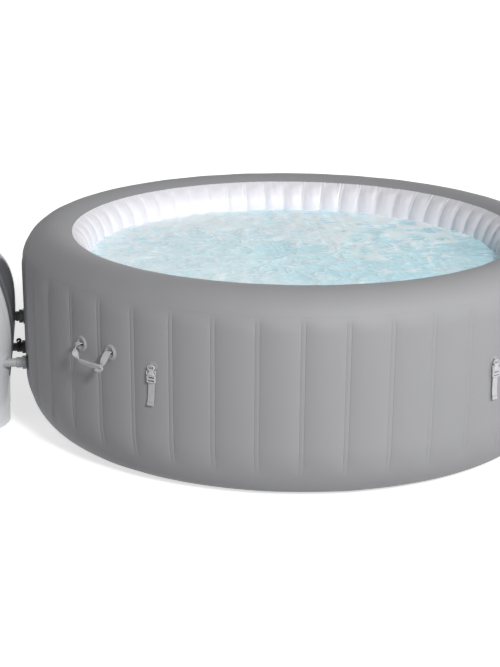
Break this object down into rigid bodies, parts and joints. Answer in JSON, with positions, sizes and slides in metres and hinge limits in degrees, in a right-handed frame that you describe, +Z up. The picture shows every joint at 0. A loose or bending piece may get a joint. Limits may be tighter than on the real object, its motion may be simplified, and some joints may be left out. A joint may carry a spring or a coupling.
{
  "type": "inflatable hot tub",
  "caption": "Round inflatable hot tub with an air-filled ring wall, liner, grab handles, cover clips and a free-standing pump, heater and blower unit.",
  "frame": {"origin": "centre of the tub's underside, on the surface that it stands on", "axes": "+Z up; the pump unit stands on -X, and the ports lie on that side"},
  "size_m": [2.4359, 1.96, 0.71],
  "materials": {
    "grey_pvc": "matt, slightly sheened laminated PVC",
    "white_liner": "smooth white PVC",
    "dark_bottom": "matt coated PVC",
    "band_pvc": "matt PVC",
    "webbing": "woven webbing",
    "clip_plastic": "moulded, fine texture",
    "dark_plastic": "moulded, fine texture",
    "black_plastic": "satin",
    "light_plastic": "satin silver grey",
    "pipe_plastic": "moulded",
    "black_rubber": "matt",
    "white_plastic": "moulded",
    "filter_paper": "pleated",
    "screw_steel": "bright",
    "motor_steel": "cast",
    "board_green": "matt",
    "lens_dark": "smoked"
  },
  "bodies": {
    "tub": {"outer_wall": "grey_pvc", "rim_sheet": "grey_pvc", "inner_liner": "white_liner", "floor_sheet": "white_liner", "bottom_sheet": "dark_bottom", "tension_bands": "band_pvc", "air_valve_body": "dark_plastic", "drain_valve_body": "dark_plastic", "handle_patches": "grey_pvc", "clip_anchors": "grey_pvc", "port_bodies": "dark_plastic", "port_gaskets": "black_rubber", "filter_housing": "white_plastic", "return_screen": "white_plastic", "air_riser": "white_plastic", "air_ring": "white_plastic"},
    "pump_unit": {"pump_pipes": "pipe_plastic", "pipe_tether": "black_plastic", "front_shell": "light_plastic", "rear_shell": "dark_plastic", "pump_base": "dark_plastic", "rubber_feet": "black_rubber", "base_screws": "screw_steel", "intake_grille": "dark_plastic", "control_panel": "black_plastic", "display_lens": "lens_dark", "circuit_board": "board_green", "circulation_housing": "dark_plastic", "circulation_motor": "motor_steel", "blower_housing": "dark_plastic", "heater_tube": "screw_steel", "inner_hoses": "white_plastic", "cord_gland": "black_plastic"},
    "coupling_nut_a": {"coupling_nut_a": "dark_plastic"},
    "coupling_nut_b": {"coupling_nut_b": "black_plastic"},
    "coupling_nut_c": {"coupling_nut_c": "light_plastic"},
    "air_valve_cap": {"air_valve_cap": "dark_plastic"},
    "drain_valve_cap": {"drain_valve_cap": "dark_plastic"},
    "handle_1": {"handle_1_strap": "webbing"},
    "handle_2": {"handle_2_strap": "webbing"},
    "clip_1_socket": {"clip_1_socket": "clip_plastic"},
    "clip_1_prong": {"clip_1_prong": "clip_plastic"},
    "clip_2_socket": {"clip_2_socket": "clip_plastic"},
    "clip_2_prong": {"clip_2_prong": "clip_plastic"},
    "clip_3_socket": {"clip_3_socket": "clip_plastic"},
    "clip_3_prong": {"clip_3_prong": "clip_plastic"},
    "clip_4_socket": {"clip_4_socket": "clip_plastic"},
    "clip_4_prong": {"clip_4_prong": "clip_plastic"},
    "clip_5_socket": {"clip_5_socket": "clip_plastic"},
    "clip_5_prong": {"clip_5_prong": "clip_plastic"},
    "filter_cartridge": {"filter_cartridge": "filter_paper"},
    "filter_cap": {"filter_cap": "white_plastic"},
    "button_power": {"button_power": "light_plastic"},
    "button_filter": {"button_filter": "light_plastic"},
    "button_heater": {"button_heater": "light_plastic"},
    "button_bubbles": {"button_bubbles": "light_plastic"},
    "button_warmer": {"button_warmer": "light_plastic"},
    "button_cooler": {"button_cooler": "light_plastic"},
    "circulation_impeller": {"circulation_impeller": "white_plastic"},
    "blower_impeller": {"blower_impeller": "white_plastic"}
  },
  "joints": [
    {"name": "pump_unit_pull_off", "type": "slide", "parent": "tub", "child": "pump_unit", "axis": [-1, 0, 0], "range_m": [0, 0.2]},
    {"name": "coupling_nut_a_turn", "type": "hinge", "parent": "pump_unit", "child": "coupling_nut_a", "pos_m": [-0.99059, 0, 0.386], "axis": [-1, 0, 0], "range_deg": [0, 360]},
    {"name": "coupling_nut_b_turn", "type": "hinge", "parent": "pump_unit", "child": "coupling_nut_b", "pos_m": [-0.98265, 0.0955, 0.242], "axis": [-1, 0, 0], "range_deg": [0, 360]},
    {"name": "coupling_nut_c_turn", "type": "hinge", "parent": "pump_unit", "child": "coupling_nut_c", "pos_m": [-0.98265, -0.0955, 0.242], "axis": [-1, 0, 0], "range_deg": [0, 360]},
    {"name": "air_valve_cap_turn", "type": "hinge", "parent": "tub", "child": "air_valve_cap", "pos_m": [-0.9066, 0.38857, 0.42], "axis": [-0.9191, 0.3939, 0], "range_deg": [0, 360]},
    {"name": "drain_valve_cap_turn", "type": "hinge", "parent": "tub", "child": "drain_valve_cap", "pos_m": [0.92273, 0.31772, 0.15], "axis": [0.9455, 0.3256, 0], "range_deg": [0, 360]},
    {"name": "handle_1_swing", "type": "hinge", "parent": "tub", "child": "handle_1", "pos_m": [-0.74605, -0.63494, 0.453], "axis": [-0.6481, 0.7615, 0], "range_deg": [0, 96]},
    {"name": "handle_2_swing", "type": "hinge", "parent": "tub", "child": "handle_2", "pos_m": [0.74605, 0.63494, 0.453], "axis": [0.6481, -0.7615, 0], "range_deg": [0, 96]},
    {"name": "clip_1_swing", "type": "hinge", "parent": "tub", "child": "clip_1_socket", "pos_m": [-0.57241, -0.80249, 0.436], "axis": [-0.8141, 0.5807, 0], "range_deg": [0, 90]},
    {"name": "clip_1_release", "type": "slide", "parent": "clip_1_socket", "child": "clip_1_prong", "axis": [0, 0, -1], "range_m": [0, 0.04]},
    {"name": "clip_2_swing", "type": "hinge", "parent": "tub", "child": "clip_2_socket", "pos_m": [0.56105, -0.81025, 0.428], "axis": [-0.8221, -0.5693, 0], "range_deg": [0, 90]},
    {"name": "clip_2_release", "type": "slide", "parent": "clip_2_socket", "child": "clip_2_prong", "axis": [0, 0, -1], "range_m": [0, 0.04]},
    {"name": "clip_3_swing", "type": "hinge", "parent": "tub", "child": "clip_3_socket", "pos_m": [0.98554, 0, 0.428], "axis": [0, -1, 0], "range_deg": [0, 90]},
    {"name": "clip_3_release", "type": "slide", "parent": "clip_3_socket", "child": "clip_3_prong", "axis": [0, 0, -1], "range_m": [0, 0.04]},
    {"name": "clip_4_swing", "type": "hinge", "parent": "tub", "child": "clip_4_socket", "pos_m": [0.56105, 0.81025, 0.428], "axis": [0.8221, -0.5693, 0], "range_deg": [0, 90]},
    {"name": "clip_4_release", "type": "slide", "parent": "clip_4_socket", "child": "clip_4_prong", "axis": [0, 0, -1], "range_m": [0, 0.04]},
    {"name": "clip_5_swing", "type": "hinge", "parent": "tub", "child": "clip_5_socket", "pos_m": [-0.57241, 0.80249, 0.436], "axis": [0.8141, 0.5807, 0], "range_deg": [0, 90]},
    {"name": "clip_5_release", "type": "slide", "parent": "clip_5_socket", "child": "clip_5_prong", "axis": [0, 0, -1], "range_m": [0, 0.04]},
    {"name": "filter_lift", "type": "slide", "parent": "tub", "child": "filter_cartridge", "axis": [0, 0, 1], "range_m": [0, 0.13]},
    {"name": "filter_cap_turn", "type": "hinge", "parent": "filter_cartridge", "child": "filter_cap", "pos_m": [-0.64981, -0.0955, 0.297], "axis": [0, 0, 1], "range_deg": [0, 90]},
    {"name": "button_power_press", "type": "slide", "parent": "pump_unit", "child": "button_power", "axis": [0, 0, -1], "range_m": [0, 0.001], "stiffness_N_per_m": 500, "springref_m": -0.0006},
    {"name": "button_filter_press", "type": "slide", "parent": "pump_unit", "child": "button_filter", "axis": [0, 0, -1], "range_m": [0, 0.001], "stiffness_N_per_m": 500, "springref_m": -0.0006},
    {"name": "button_heater_press", "type": "slide", "parent": "pump_unit", "child": "button_heater", "axis": [0, 0, -1], "range_m": [0, 0.001], "stiffness_N_per_m": 500, "springref_m": -0.0006},
    {"name": "button_bubbles_press", "type": "slide", "parent": "pump_unit", "child": "button_bubbles", "axis": [0, 0, -1], "range_m": [0, 0.001], "stiffness_N_per_m": 500, "springref_m": -0.0006},
    {"name": "button_warmer_press", "type": "slide", "parent": "pump_unit", "child": "button_warmer", "axis": [0, 0, -1], "range_m": [0, 0.001], "stiffness_N_per_m": 500, "springref_m": -0.0006},
    {"name": "button_cooler_press", "type": "slide", "parent": "pump_unit", "child": "button_cooler", "axis": [0, 0, -1], "range_m": [0, 0.001], "stiffness_N_per_m": 500, "springref_m": -0.0006},
    {"name": "circulation_impeller_spin", "type": "hinge", "parent": "pump_unit", "child": "circulation_impeller", "pos_m": [-1.226, -0.04, 0.08], "axis": [0, 1, 0], "continuous": true},
    {"name": "blower_impeller_spin", "type": "hinge", "parent": "pump_unit", "child": "blower_impeller", "pos_m": [-1.276, 0, 0.32], "axis": [0, 0, 1], "continuous": true}
  ]
}
